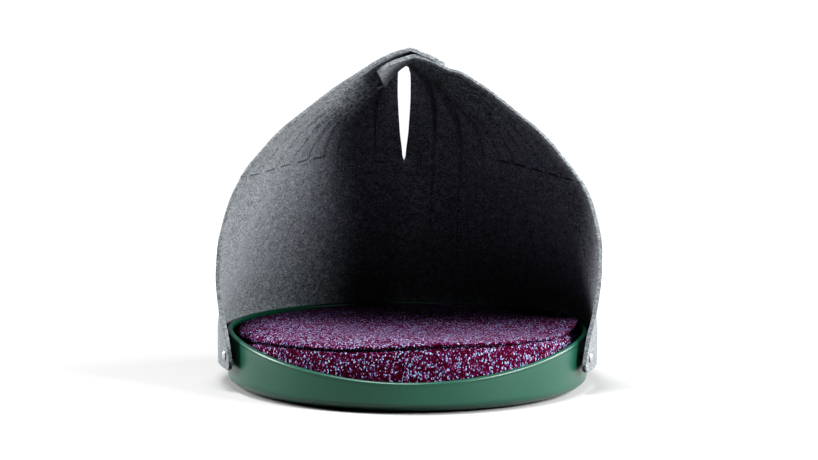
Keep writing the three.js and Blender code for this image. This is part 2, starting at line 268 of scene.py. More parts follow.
def on_wall(side, u, z):
    hx, hy = on_round(u, z)
    rise = np.clip((z - LEAN_FROM_Z) / (crease_z(side, u) - LEAN_FROM_Z), 0, 1)
    lean = 1.05 * rise * rise / (rise + 0.05)
    bulge = (front_x(np.minimum(z, 229.0)) - CREASE[-1, 0]) * smooth(0.8, 1, u)
    return lerp(hx, crease_x(u) + bulge, lean), lerp(hy, crease_y(u), lean)


def strap_point(u):
    w = 0.35 * u + 0.65 * np.power(u, 2.4)
    return lerp(STRAP_REAR_Y, FRONT_Y, w), lerp(STRAP_REAR_Z, STRAP_FRONT_Z, w)


def flap(side, u, across):
    across = np.clip(across, 0, 1)
    sy, sz = strap_point(u)
    bow = 1 + 3.45 * np.exp(-u / 0.145)
    x = crease_x(u) * (1 - np.power(across, bow))
    slit = slit_half(across) * (1 - smooth(0, 0.11, u))
    return x + slit, lerp(crease_y(u), sy, across), lerp(crease_z(side, u), sz, rise_up(across))


def flap_height(side, x, y):
    low, high = np.zeros_like(x), np.ones_like(x)
    z = np.zeros_like(x)
    for _ in range(20):
        u = (low + high) / 2
        a, b = np.zeros_like(x), np.ones_like(x)
        for _ in range(20):
            c = (a + b) / 2
            more = flap(side, u, c)[0] > x
            a, b = np.where(more, c, a), np.where(more, b, c)
        _, fy, z = flap(side, u, (a + b) / 2)
        behind = fy > y
        low, high = np.where(behind, u, low), np.where(behind, high, u)
    return z


def aside(u, v, z):
    """The top stands a little to the right, and the slit and its gores a little to the left."""
    slit = SLIT_ASIDE * (1 - smooth(0.02, 0.42, u)) * smooth(0.25, 0.95, v)
    return slit + TOP_ASIDE * smooth(90, 205, z)


def layer_shift(side, across):
    if side < 0:
        return UPPER_LIFT * smooth(0.45, 0.85, across)
    return -LOWER_DROP * smooth(0.7, 0.8, across)


def tongue(side, u, far):
    sy, _ = strap_point(u)
    front = (STRAP_REAR_Y - sy) / (STRAP_REAR_Y - FRONT_Y)
    reach = TONGUE_OVER if side < 0 else lerp(TONGUE_UNDER_REAR, TONGUE_UNDER, front)
    x = lerp(float(slit_half(1.0)), reach, far)
    middle = (STRAP_REAR_Y + FRONT_Y) / 2
    y = lerp(middle, sy, 1 - 0.14 * np.power(far, 6))
    if side > 0:
        y = y + (1 - front) * TONGUE_SLANT * far
    other = flap_height(-side, np.maximum(x, 1.7), y) + layer_shift(-side, 1 - x / CREASE[-1, 0])
    if side < 0:
        # lies close on the other flap, apart from it only near the peak
        return x, y, other + lerp(UPPER_LIFT + LOWER_DROP, FELT + TONGUE_GAP, smooth(0, 0.4, far))
    near = lerp(UPPER_LIFT + LOWER_DROP, FELT + 0.7, smooth(0.15, 0.9, far))
    droop = lerp(TONGUE_DROOP_REAR, TONGUE_DROOP_FRONT, front)
    return x, y, other - near - droop * np.power(far, 1.6)


def sheet_points(side, u, v):
    """Middle surface of the felt for arrays of the same shape; every row has one v."""
    out = np.zeros(u.shape + (3,))
    wall, up, over = v[0] <= 1, (v[0] > 1) & (v[0] <= 2), v[0] > 2
    if wall.any():
        uu, vv = u[:, wall], v[:, wall]
        z = lerp(hem_z(uu), crease_z(side, uu), vv)
        x, y = on_wall(side, uu, z)
        x = x + float(slit_half(0.0)) * smooth(0.95, 1, vv) * (1 - smooth(0, 0.11, uu))
        out[:, wall] = np.stack([side * x + aside(uu, vv, z), y, z], -1)
    if up.any():
        uu, vv = u[:, up], v[:, up] - 1
        x, y, z = flap(side, uu, vv)
        out[:, up] = np.stack([side * x + aside(uu, 1, z), y, z + layer_shift(side, vv)], -1)
    if over.any():
        uu, vv = u[:, over], np.clip(v[:, over] - 2, 0, 1)
        x, y, z = tongue(side, uu, vv)
        out[:, over] = np.stack([-side * x + aside(uu, 1, z), y, z], -1)
    return out


# Columns of the mesh across each gore, closer where its fold lies, and towards the front edge.
GORE_STEPS = [
    0, 0.012, 0.035, 0.07, 0.13, 0.24, 0.38, 0.52,
    0.66, 0.78, 0.86, 0.9, 0.925, 0.95, 0.975, 0.992,
]
EDGE_STEPS = [16, 12, 9, 6.5, 4.5, 2.8, 1.4, 0.5, 0]
EDGE_STRIP = 18.0

# Height on the wall, as a share, where the two halves of the sheet part at the slit.
SLIT_FOOT = 0.94


def hood_columns():
    u = [(g + t) / GORES for g in range(GORES) for t in GORE_STEPS]
    u = [x for x in u if x < 1 - EDGE_STRIP / HEM_LENGTH]
    return np.array(u + [1 - d / HEM_LENGTH for d in EDGE_STEPS])


def hood_rows():
    """Rows of the mesh: 0 to 1 up the wall, to 2 up the flap and to 3 along the tongue."""
    hem = [0, 0.003, 0.01, 0.02, 0.035]
    under_crease = [SLIT_FOOT, 0.953, 0.963, 0.972, 0.98, 0.986, 0.991, 0.9955, 1]
    over_crease = [0.003, 0.006, 0.01, 0.016, 0.025, 0.037, 0.052]
    wall = [*hem, *np.linspace(0.055, 0.925, 34), *under_crease]
    up = [*over_crease, *np.linspace(0.07, 0.96, 44), 0.975, 0.99, 1]
    over = [*np.linspace(0.06, 0.9, 12), 0.94, 0.97, 0.99, 1]
    return np.array(wall + [1 + p for p in up] + [2 + f for f in over])


# Relief of the gores, out of the sheet. A pair holds the value at the crease and the one further up.
GORE_STEP = (1.0, 4.4)
FOLD_DEPTH = (0.3, 6.6)
RIB_LEFT = 0.35
RIB_RIGHT = 1.1
GROOVE_DEPTH = 1.5
GROOVE_SHARE = 0.045

# Where the relief grows or fades: shares of the way to the front edge, up the flap and across a gore.
TO_FRONT = (0.42, 0.9)
TO_STRAP = (0.75, 0.97)
AT_STRAP = (0.985, 1)
FOLD_START = (0.87, 0.935)
FOLD_END = (0.9925, 1)


def fold_relief(side, u, v):
    """Out-of-sheet offset of the folds, and the depth of the lines between them."""
    g = np.floor(u * GORES + 1e-9)
    t = np.clip(u * GORES - g, 0, 1)
    first, last = g < 1, g >= GORES - 1
    across = np.clip(v - 1, 0, 1)
    low = np.clip(v, 0, 1)
    on_flap = v > 1
    rib = RIB_LEFT if side < 0 else RIB_RIGHT
    near = 1 - 0.72 * smooth(*TO_FRONT, u)
    taper = (1 - 0.45 * smooth(*TO_STRAP, across)) * (1 - smooth(*AT_STRAP, across))

    # each gore stands a little over the next
    saw = np.where(first, 0.5 * t, t - 0.5)
    saw = np.where(last, -0.5 * (1 - t), saw)
    step = lerp(*GORE_STEP, smooth(0, 0.55, across)) * taper * near
    step = np.where(on_flap, step, rib * smooth(0.2, 0.95, low))
    edge = -0.22 * step * np.exp(-(((t - 0.05) / 0.05) ** 2)) * (g >= 1)

    # a dark fold just before each line, under the edge of the next gore
    fold = lerp(*FOLD_DEPTH, smooth(0, 0.45, across)) * taper * near
    fold = np.where(on_flap, fold, 0.2 * rib * smooth(0.4, 1, low))
    under = smooth(*FOLD_START, t) * (1 - smooth(*FOLD_END, t)) * (g < GORES - 1) * fold

    # near the strap the folds stand inward, clear of the layer above
    inward = np.where(on_flap, -(0.5 * step + 0.6 * fold) * smooth(0.6, 0.85, across), 0)

    line = np.maximum(0, 1 - np.minimum(t, 1 - t) / GROOVE_SHARE)
    line = np.where(first & (t < 0.5), 0, line)
    line = np.where(last & (t > 0.5), 0, line)
    on_wall_depth = 0.25 * rib * smooth(0.3, 0.95, low)
    on_flap_depth = GROOVE_DEPTH * taper * (1 - 0.5 * smooth(*TO_FRONT, u))
    depth = np.where(on_flap, on_flap_depth, on_wall_depth) * line

    over = v > 2
    return np.where(over, 0, saw * step + under + edge + inward), np.where(over, 0, depth)


# Stitched lines along the crease: start and end as shares of a gore, their width and their hooked end.
STITCH_LEFT = (0.1, 0.8)
STITCH_RIGHT = (0.03, 0.9)
STITCH_HALF_WIDTH = 1.15
STITCH_DEPTH = 1.25
STITCH_HOOK = 1.6
WALL_HEIGHT = 215
FLAP_LENGTH = 230


def crease_depth(side, u, v):
    """Short stitched lines along the crease, one to a gore, hooked down at one end."""
    t = (u * GORES) % 1
    height = (v - 1) * np.where(v > 1, FLAP_LENGTH, WALL_HEIGHT)
    start, end = STITCH_LEFT if side < 0 else STITCH_RIGHT
    hooked = end if side < 0 else start
    hook = STITCH_HOOK * np.exp(-(((t - hooked) / 0.07) ** 2))
    along = smooth(start - 0.06, start + 0.02, t) * (1 - smooth(end - 0.02, end + 0.06, t))
    back = smooth(0.03, 0.08, u)
    return STITCH_DEPTH * along * back * np.exp(-(((height + hook) / STITCH_HALF_WIDTH) ** 2))


FELT_WAVES = waves(5, 9, 130, 45, 0.4)
STITCH_PUSH = 2.2
STITCH_THINNING = 0.85
MOST_THINNING = 1.75

# Cut edge of the felt: levels through its thickness, softly rounded, with a faint line at its middle.
EDGE_LEVELS = np.array([-0.9, -0.66, -0.3, -0.1, 0, 0.1, 0.3, 0.66, 0.9])
EDGE_ROUND = 0.75 * np.sqrt(np.maximum(0, 1 - np.abs(EDGE_LEVELS) ** 3.2))
EDGE_LINE = 0.32 * np.exp(-((EDGE_LEVELS / 0.11) ** 2))


def sheet_frame(side, u, v, slit_row):
    """Points of the middle surface, its two directions and its outward normals."""
    e = 1e-3
    p = sheet_points(side, u, v)
    du = sheet_points(side, np.minimum(1, u + e), v) - sheet_points(side, np.maximum(0, u - e), v)
    high = np.where((v <= 1) & (v + e > 1), v, np.minimum(3, v + e))
    low = np.where(v > 2, np.maximum(2 + e / 2, v - 2 * e), np.maximum(0, v - e))
    low = np.where((v > 1) & (low < 1), 1.00001, low)
    dv = sheet_points(side, u, high) - sheet_points(side, u, low)
    n = unit(side * np.cross(du, dv))
    # one soft bend over the crease instead of a break in the normals
    at = int(np.argmin(abs(v[0] - 1)))
    for k in range(-3, 4):
        w = 0.5 + k / 7
        n[:, at + k] = n[:, at - 4] * (1 - w) + n[:, at + 4] * w
    n = unit(n)
    # the two halves meet at the back
    n[0, : slit_row + 1, 0] = 0
    return p, unit(du), unit(dv), unit(n)


def hood_half(side, u, v, slit_row):
    """One half of the sheet with its relief: middle surface, directions and half thickness."""
    p, du, dv, n = sheet_frame(side, u, v, slit_row)
    relief, depth = fold_relief(side, u, v)
    uneven = ripple(*np.moveaxis(p, -1, 0), FELT_WAVES)
    calm = smooth(0, 0.03, v) * (1 - smooth(1.5, 1.7, v)) * smooth(75, 120, p[..., 2])
    calm = calm * (1 - 0.7 * smooth(0.93, 1, u))
    crease = crease_depth(side, u, v)
    p = p + n * (relief + uneven * calm + STITCH_PUSH * crease)[..., None]
    half = FELT / 2 - np.minimum(MOST_THINNING, depth + STITCH_THINNING * crease)
    return dict(p=p, n=n, half=half, du=du, dv=dv)


def edge_loop(columns, rows, slit_row):
    """Places in the grids along the cut edge, all round the sheet: side, column and row."""
    last, top = columns - 1, rows - 1
    loop = [(-1, i, 0) for i in range(last, 0, -1)] + [(1, i, 0) for i in range(columns)]
    loop += [(1, last, j) for j in range(1, rows)]
    loop += [(1, i, top) for i in range(last - 1, -1, -1)]
    loop += [(1, 0, j) for j in range(top - 1, slit_row - 1, -1)]
    loop += [(-1, 0, j) for j in range(slit_row + 1, rows)]
    loop += [(-1, i, top) for i in range(1, columns)]
    loop += [(-1, last, j) for j in range(top - 1, 0, -1)]
    return loop


def off_edge(g, i, j, slit_row):
    """Direction off the sheet at a place on its edge."""
    last, top = g["half"].shape[0] - 1, g["half"].shape[1] - 1
    b = np.zeros(3)
    if j == 0:
        b -= g["dv"][i, j]
    if j == top:
        b += g["dv"][i, j]
    if i == last:
        b += g["du"][i, j]
    if i == 0 and j > slit_row:
        b -= g["du"][i, j]
    if i == 0 and j == slit_row:
        b += g["dv"][i, j]
    n = g["n"][i, j]
    b -= n * b.dot(n)
    return b / np.linalg.norm(b)


def sheet_area(p):
    d1, d2 = p[1:, 1:] - p[:-1, :-1], p[1:, :-1] - p[:-1, 1:]
    return 0.5 * np.linalg.norm(np.cross(d1, d2), axis=-1).sum()


def build_hood():
    """The felt sheet as one closed mesh, and the area of its middle surface in square metres."""
    us, vs = hood_columns(), hood_rows()
    slit_row = int(np.argmin(abs(vs - SLIT_FOOT)))
    u, v = np.meshgrid(us, vs, indexing="ij")
    halves = {side: hood_half(side, u, v, slit_row) for side in (-1, 1)}
    left, right = halves[-1], halves[1]
    seam = (left["p"][0, : slit_row + 1] + right["p"][0, : slit_row + 1]) / 2
    for g in (left, right):
        g["p"][0, : slit_row + 1] = seam
        g["n"][0, : slit_row + 1] = right["n"][0, : slit_row + 1]
        g["half"][0, : slit_row + 1] = right["half"][0, : slit_row + 1]

    pts, faces, ids = [], [], {}
    for side, g in halves.items():
        for face, sign in (("out", 1), ("in", -1)):
            t = len(pts) + np.arange(u.size).reshape(u.shape)
            ids[side, face] = t
            pts.extend((g["p"] + sign * g["n"] * g["half"][..., None]).reshape(-1, 3).tolist())
            quads = np.stack([t[:-1, :-1], t[1:, :-1], t[1:, 1:], t[:-1, 1:]], -1)
            faces.extend(quads.reshape(-1, 4).tolist())

    rings = []
    for side, i, j in edge_loop(*u.shape, slit_row):
        g = halves[side]
        b = off_edge(g, i, j, slit_row)
        base = len(pts)
        for level, by in zip(EDGE_LEVELS, EDGE_ROUND - EDGE_LINE):
            pts.append((g["p"][i, j] + g["n"][i, j] * g["half"][i, j] * level + b * by).tolist())
        between = range(base, len(pts))
        rings.append([int(ids[side, "in"][i, j]), *between, int(ids[side, "out"][i, j])])
    for a, b in zip(rings, rings[1:] + rings[:1]):
        faces += [[a[k], b[k], b[k + 1], a[k + 1]] for k in range(len(a) - 1)]

    area = sum(sheet_area(g["p"]) for g in halves.values())
    return mesh_object("hood_felt", pts, faces, "hood"), area * MM * MM


# Tray


def rim_height(angle):
    return RIM_FRONT + (RIM_BACK - RIM_FRONT) * (1 - np.power(np.maximum(0, -np.sin(angle)), RIM_POWER))


LIP_R = TRAY_WALL / 2 + 0.35
LIP_NECK = 1.6
TRAY_FILLET = 12


def tray_profile(angle):
    one = np.ones_like(angle)
    inner = TRAY_R - TRAY_WALL
    foot = TRAY_FLOOR + TRAY_FILLET
    r, z = [0 * one], [0 * one]

    def add(rr, zz):
        r.append(rr * one)
        z.append(zz * one)

    for rr in (60, 120, 160):
        add(rr, 0)
    for k in range(17):
        a = math.pi / 2 * k / 16
        add(TRAY_R - TRAY_CORNER_R + TRAY_CORNER_R * math.sin(a), TRAY_CORNER_H * (1 - math.cos(a)))
    top = rim_height(angle) - LIP_R
    for t in (0.12, 0.25, 0.4, 0.55, 0.7, 0.82):
        add(TRAY_R, lerp(TRAY_CORNER_H, top - 1.2, t))
    add(TRAY_R, top - 2.4)
    add(TRAY_R - 0.1, top - 1.5)
    add(TRAY_R + 0.05, top - 0.9)
    for k in range(15):
        a = math.pi * k / 14
        add(TRAY_R - TRAY_WALL / 2 + LIP_R * math.cos(a), top + LIP_R * math.sin(a))
    add(inner, top - LIP_NECK)
    for t in (0.2, 0.45, 0.7):
        add(inner, lerp(top - LIP_NECK, foot, t))
    for k in range(9):
        a = math.pi / 2 * k / 8
        add(inner - TRAY_FILLET + TRAY_FILLET * math.cos(a), foot - TRAY_FILLET * math.sin(a))
    add(90, TRAY_FLOOR)
    add(0, TRAY_FLOOR)
    return np.stack(r), np.stack(z)


# Cushion


CUSHION_WAVES = waves(11, 9, 260, 90, 1.5)
PUCKER_WAVES = waves(23, 14, 34, 12, 1.0)
CUSHION_CORNER = 14
SEAM_Z = 58.8
RING_Z = 67.0
HOLLOW_Z = 60.5
CROWN_STEPS = 26

# Cross section of the seam: up from its middle, in from the side.
SEAM_SHAPE = [
    (-4.2, 0), (-2.9, 0.3), (-1.8, 0.8), (-1.0, 1.7), (-0.5, 2.9), (0, 3.8),
    (0.5, 3.0), (1.0, 1.7), (1.8, 0.7), (2.8, 0.1), (4.0, -0.1),
]


def seam_height(angle):
    tilt = 6.2 * np.cos(angle) - 4.2 * np.sin(angle)
    return SEAM_Z + tilt + 0.8 * np.sin(3 * angle + 1) + 0.5 * np.sin(7 * angle)


def crown_height(x, y):
    """Top of the cushion: a puffy ring round a shallow hollow where a cat has lain."""
    r = np.hypot(x, y) / CUSHION_R
    angle = np.arctan2(y, x)
    ring = RING_Z + 0.9 * np.sin(2 * angle + 0.6) - 3.0 * np.sin(angle) + 0.8 * np.sin(3 * angle - 1)
    hollow = HOLLOW_Z - 1.5 * y / CUSHION_R
    return lerp(hollow, ring, smooth(0.12, 0.82, r))


def cushion_profile(angle):
    one = np.ones_like(angle)
    seam = seam_height(angle)
    pull = 0.9 * np.sin(23 * angle + 2 * np.sin(3 * angle)) + 0.6 * np.sin(41 * angle + 1.3)
    r, z = [0 * one], [CUSHION_BASE_Z * one]

    def add(rr, zz):
        r.append(rr * one)
        z.append(zz * one)

    for rr in (60, 120, CUSHION_R - 24):
        add(rr, CUSHION_BASE_Z)
    for k in range(9):
        a = math.pi / 2 * k / 8
        across, up = CUSHION_CORNER * (math.sin(a) - 1), CUSHION_CORNER * (1 - math.cos(a))
        add(CUSHION_R + across, CUSHION_BASE_Z + up)
    for t in np.linspace(0.08, 0.86, 12):
        zz = lerp(CUSHION_BASE_Z + CUSHION_CORNER, seam - 4.5, t)
        add(CUSHION_R - 1.6 + 1.4 * math.sin(math.pi * t) + 0.25 * pull * t * t, zz)
    # in to the seam, and out again over it
    for d, drop in SEAM_SHAPE:
        add(CUSHION_R - 2.0 - drop + 0.14 * pull * (drop < 4), seam + d)
    # over the shoulder and in to the middle of the crown
    for k in range(1, CROWN_STEPS):
        t = k / CROWN_STEPS
        a = math.pi / 2 * t
        rr = (CUSHION_R - 2.6) * math.cos(a) ** 0.72 + 1.4 * math.sin(2 * a) * (a < 0.7)
        crown = crown_height(rr * np.cos(angle), rr * np.sin(angle))
        zz = lerp(seam + 4.6, crown, math.sin(a) ** 0.62)
        add(rr, zz + 0.3 * pull * math.exp(-(((t - 0.1) / 0.12) ** 2)))
    add(0, float(crown_height(0.0, 0.0)))
    return np.stack(r), np.stack(z)


def build_cushion():
    pts, faces = turned(cushion_profile, 300)
    p = np.array(pts)
    top = smooth(60, 67, p[:, 2])
    dents = ripple(p[:, 0], p[:, 1], p[:, 2] * 0, CUSHION_WAVES)
    p[:, 2] += top * dents
    small = ripple(p[:, 0], p[:, 1], p[:, 2] * 1.5, PUCKER_WAVES)
    # none in the hollow
    away = np.clip((np.hypot(p[:, 0], p[:, 1]) - 60) / 128, 0, 1)
    p[:, 2] += 0.35 * top * small * away
    return mesh_object("cushion_pad", p, faces, "cushion")


# Studs


SHANK_R = 2.6
SHANK_CLEAR = 0.35
FACE_GAP = 0.4
DOME_R = 3.5
DOME_FOOT = 1.2
DOME_RISE = 0.95

# Edge of the cap, from its underside to the groove round its dome: radius, height over the felt.
CAP_EDGE = [(4.3, 0), (4.75, 0.15), (4.9, 0.5), (4.75, 0.9), (4.35, 1.1), (4.0, 1.02), (3.7, 1.1)]


def stud_seat(side):
    """Point on the felt's middle surface at the stud, and the outward direction there."""

    def at(u):
        x, y = on_wall(side, np.array([[u]]), np.array([[STUD_Z]]))
        return np.array([side * x[0, 0], y[0, 0], STUD_Z])

    low, high = 0.8, 1.0
    for _ in range(30):
        u = (low + high) / 2
        if at(u)[1] > STUD_Y:
            low = u
        else:
            high = u
    t = at(low + 0.01) - at(low - 0.01)
    n = np.array([t[1], -t[0], 0]) / np.hypot(t[0], t[1])
    return at(low), n if n[0] * side > 0 else -n


def to_tray(seat, n):
    """Distance from the stud's seat in to the tray's wall."""
    inward = 0.0
    while math.hypot(seat[0] - n[0] * inward, seat[1] - n[1] * inward) > TRAY_R and inward < 30:
        inward += 0.02
    return inward


def build_stud(side, name, node):
    seat, n = stud_seat(side)
    end = -(to_tray(seat, n) - SHANK_CLEAR)
    face = FELT / 2 + FACE_GAP
    rows = [(0, end), (SHANK_R, end), (SHANK_R, face)]
    rows += [(r, face + up) for r, up in CAP_EDGE]
    for a in np.linspace(0.15, 1.35, 7):
        rows.append((DOME_R * math.cos(a), face + DOME_FOOT + DOME_RISE * math.sin(a)))
    rows.append((0, face + DOME_FOOT + DOME_RISE))

    def profile(angles):
        one = np.ones_like(angles)
        return np.stack([r * one for r, _ in rows]), np.stack([z * one for _, z in rows])

    pts, faces = turned(profile, 48)
    p = np.array(pts)
    flat = np.array([-n[1], n[0], 0.0])
    up = np.array([0, 0, 1.0])
    return mesh_object(name, seat + p[:, :1] * flat + p[:, 1:2] * up + p[:, 2:] * n, faces, node)


# Materials


class Nodes:
    """Short way to build a material's nodes."""

    def __init__(self, name):
        self.mat = bpy.data.materials.new(name)
        self.mat.use_nodes = True
        self.tree = self.mat.node_tree
        self.shader = self.tree.nodes["Principled BSDF"]
        self.place = self.add("ShaderNodeTexCoord").outputs["Object"]

    def add(self, kind, **values):
        node = self.tree.nodes.new(kind)
        for key, value in values.items():
            if key in node.inputs:
                node.inputs[key].default_value = value
            else:
                setattr(node, key, value)
        return node

    def join(self, a, b):
        self.tree.links.new(a, b)

    def noise(self, scale, detail=3.0, roughness=0.55, stretch=None, distortion=0.0):
        node = self.add("ShaderNodeTexNoise")
        node.inputs["Scale"].default_value = scale
        node.inputs["Detail"].default_value = detail
        node.inputs["Roughness"].default_value = roughness
        node.inputs["Distortion"].default_value = distortion
        if stretch:
            m = self.add("ShaderNodeMapping")
            m.inputs["Rotation"].default_value = stretch[0]
            m.inputs["Scale"].default_value = stretch[1]
            self.join(self.place, m.inputs["Vector"])
            self.join(m.outputs["Vector"], node.inputs["Vector"])
        else:
            self.join(self.place, node.inputs["Vector"])
        return node.outputs["Fac"]

    def ramp(self, fac, stops, mode="LINEAR"):
        node = self.add("ShaderNodeValToRGB")
        node.color_ramp.interpolation = mode
        while len(node.color_ramp.elements) < len(stops):
            node.color_ramp.elements.new(0.5)
        for el, (at, colour) in zip(node.color_ramp.elements, stops):
            el.position = at
            el.color = (*colour, 1)
        self.join(fac, node.inputs["Fac"])
        return node.outputs["Color"]

    def mix(self, fac, a, b, blend="MIX"):
        node = self.add("ShaderNodeMix", data_type="RGBA", blend_type=blend)
        for value, socket in ((fac, node.inputs[0]), (a, node.inputs[6]), (b, node.inputs[7])):
            if isinstance(value, (int, float)):
                socket.default_value = value
            elif isinstance(value, tuple):
                socket.default_value = (*value, 1)
            else:
                self.join(value, socket)
        return node.outputs[2]

    def math(self, operation, a, b=0.0):
        node = self.add("ShaderNodeMath", operation=operation)
        for value, socket in ((a, node.inputs[0]), (b, node.inputs[1])):
            if isinstance(value, (int, float)):
                socket.default_value = value
            else:
                self.join(value, socket)
        return node.outputs[0]

    def step(self, value, start, end, kind="SMOOTHSTEP"):
        """0 up to start and 1 from end; start may be the larger one."""
        node = self.add("ShaderNodeMapRange", interpolation_type=kind)
        node.inputs["From Min"].default_value = min(start, end)
        node.inputs["From Max"].default_value = max(start, end)
        node.inputs["To Min"].default_value = float(start > end)
        node.inputs["To Max"].default_value = float(start < end)
        self.join(value, node.inputs["Value"])
        return node.outputs["Result"]

    def bump(self, height, distance, strength=1.0):
        node = self.add("ShaderNodeBump")
        node.inputs["Distance"].default_value = distance
        node.inputs["Strength"].default_value = strength
        self.join(height, node.inputs["Height"])
        self.join(node.outputs["Normal"], self.shader.inputs["Normal"])


# Painted shade: dark marks in the stitched grooves along the crease. A gore's depth at the sides,
# from front to back; where the marks fade out and reach full strength, off the crease, along a gore
# (as shares of it) and towards the back; how far they lie behind the gore lines, and how dark they are.
SIDE_GORE = 26.8
MARK_WIDTH = (1.3, 0.3)
MARK_START = (0.14, 0.2)
MARK_END = (0.92, 0.86)
MARK_BACK_Y = (58, 50)
MARK_SHIFT = 2.5
PAINTED_SHADE_STRENGTH = 0.78


def painted_crease_shade(m):
    """1 on the short stitched lines along the crease at both sides, one to a gore, where shade is
    painted into their grooves.
    """
    place = m.add("ShaderNodeSeparateXYZ")
    m.join(m.place, place.inputs[0])
    x, y, z = place.outputs
    depth = (CREASE[:, 1] - CREASE[-1, 1]) / (CREASE[0, 1] - CREASE[-1, 1])
    heights = m.add("ShaderNodeFloatCurve")
    line = heights.mapping.curves[0]
    low, high = CREASE[-1, 2], CREASE[0, 2]
    line.points[0].location = (0, 0)
    line.points[-1].location = (1, 1)
    for at, height in list(zip(depth, CREASE[:, 2]))[2:-1]:
        line.points.new(at, (height - low) / (high - low))
    heights.mapping.update()
    m.join(m.step(y, CREASE[-1, 1] * MM, CREASE[0, 1] * MM, "LINEAR"), heights.inputs["Value"])
    crease = m.math("ADD", m.math("MULTIPLY", heights.outputs[0], (high - low) * MM), low * MM)
    crease = m.math("SUBTRACT", crease, m.math("MULTIPLY", m.math("SIGN", x), CREASE_SIDE_DROP * MM))
    off = m.math("ABSOLUTE", m.math("SUBTRACT", z, crease))
    near = m.step(off, MARK_WIDTH[0] * MM, MARK_WIDTH[1] * MM)
    from_front = m.math("SUBTRACT", y, (FRONT_Y + MARK_SHIFT) * MM)
    gore = m.math("FRACT", m.math("MULTIPLY", from_front, 1 / (SIDE_GORE * MM)))
    dash = m.math("MULTIPLY", m.step(gore, *MARK_START), m.step(gore, *MARK_END))
    sides = m.step(y, MARK_BACK_Y[0] * MM, MARK_BACK_Y[1] * MM)
    return m.math("MULTIPLY", m.math("MULTIPLY", near, dash), sides)


# Scale of the felt's fibres, and the turn and stretch of their two layers.
FIBRE_SCALE = 560
FIBRE_LAYERS = [((0.3, 0.2, 0.4), (1, 0.45, 1)), ((1.1, 0.5, 2.0), (0.45, 1, 1))]


def felt_material():
    m = Nodes("felt")
    fibres_a, fibres_b = (m.noise(FIBRE_SCALE, 3, 0.65, layer, 0.8) for layer in FIBRE_LAYERS)
    fine = m.noise(1500, 2, 0.6)
    clouds = m.noise(120, 3, 0.6)
    fibres = m.math("MULTIPLY", m.math("ADD", fibres_a, fibres_b), 0.5)
    grain = m.math("ADD", m.math("MULTIPLY", fibres, 0.66), m.math("MULTIPLY", fine, 0.34))
    grain = m.math("ADD", grain, m.math("MULTIPLY", m.math("SUBTRACT", clouds, 0.5), 0.1))
    colour = m.ramp(grain, [
        (0.41, (0.072, 0.08, 0.086)),
        (0.47, (0.135, 0.15, 0.16)),
        (0.52, (0.215, 0.235, 0.25)),
        (0.6, (0.41, 0.44, 0.465)),
    ])
    # painted shade: the stitched grooves along the crease are darkened towards near black
    colour = m.mix(m.math("MULTIPLY", painted_crease_shade(m), PAINTED_SHADE_STRENGTH), colour, (0.012, 0.012, 0.014))
    m.join(colour, m.shader.inputs["Base Color"])
    m.shader.inputs["Roughness"].default_value = 0.95
    m.shader.inputs["Specular IOR Level"].default_value = 0.15
    m.shader.inputs["Sheen Weight"].default_value = 0.12
    m.shader.inputs["Sheen Roughness"].default_value = 0.6
    m.bump(m.math("ADD", fibres, m.math("MULTIPLY", fine, 0.6)), 0.0009, 0.55)
    return m.mat


# Loops of the cushion's cloth: how closely they lie, how tall they stand and how far they stray.
LOOP_SCALE = 860
LOOP_SQUASH = 0.6
LOOP_STRAY = 0.0022
STRAY_SCALE = 520


def cushion_material():
    m = Nodes("cushion_cloth")
    off = m.add("ShaderNodeTexNoise")
    off.inputs["Scale"].default_value = STRAY_SCALE
    m.join(m.place, off.inputs["Vector"])
    shift = m.add("ShaderNodeVectorMath", operation="SCALE")
    m.join(off.outputs["Color"], shift.inputs[0])
    shift.inputs["Scale"].default_value = LOOP_STRAY
    moved = m.add("ShaderNodeVectorMath", operation="ADD")
    m.join(m.place, moved.inputs[0])
    m.join(shift.outputs["Vector"], moved.inputs[1])
    tall = m.add("ShaderNodeMapping")
    tall.inputs["Scale"].default_value = (1, 1, LOOP_SQUASH)
    m.join(moved.outputs["Vector"], tall.inputs["Vector"])
    cells = m.add("ShaderNodeTexVoronoi", feature="F1")
    cells.inputs["Scale"].default_value = LOOP_SCALE
    m.join(tall.outputs["Vector"], cells.inputs["Vector"])
    pick = m.add("ShaderNodeSeparateColor")
    m.join(cells.outputs["Color"], pick.inputs["Color"])
    yarn = m.ramp(pick.outputs["Red"], [
        (0.0, (0.06, 0.0022, 0.017)),
        (0.34, (0.085, 0.0045, 0.029)),
        (0.6, (0.105, 0.014, 0.05)),
        (0.73, (0.21, 0.08, 0.2)),
        (0.84, (0.28, 0.38, 0.62)),
        (0.93, (0.4, 0.6, 0.84)),
    ], "CONSTANT")
    shade = m.ramp(m.noise(60, 3, 0.6), [(0.3, (0.74, 0.74, 0.76)), (0.7, (1.02, 1.02, 1.02))])
    # painted shade: the gaps between the loops, where the bump below is lowest, are darkened
    edge = m.ramp(cells.outputs["Distance"], [(0.3, (1, 1, 1)), (0.85, (0.42, 0.34, 0.4))])
    colour = m.mix(1.0, m.mix(1.0, yarn, shade, "MULTIPLY"), edge, "MULTIPLY")
    m.join(colour, m.shader.inputs["Base Color"])
    m.shader.inputs["Roughness"].default_value = 0.92
    m.shader.inputs["Specular IOR Level"].default_value = 0.08
    knob = m.math("SUBTRACT", 1.0, cells.outputs["Distance"])
    m.bump(m.math("ADD", knob, m.math("MULTIPLY", m.noise(330, 2, 0.5), 0.4)), 0.0012, 0.7)
    return m.mat


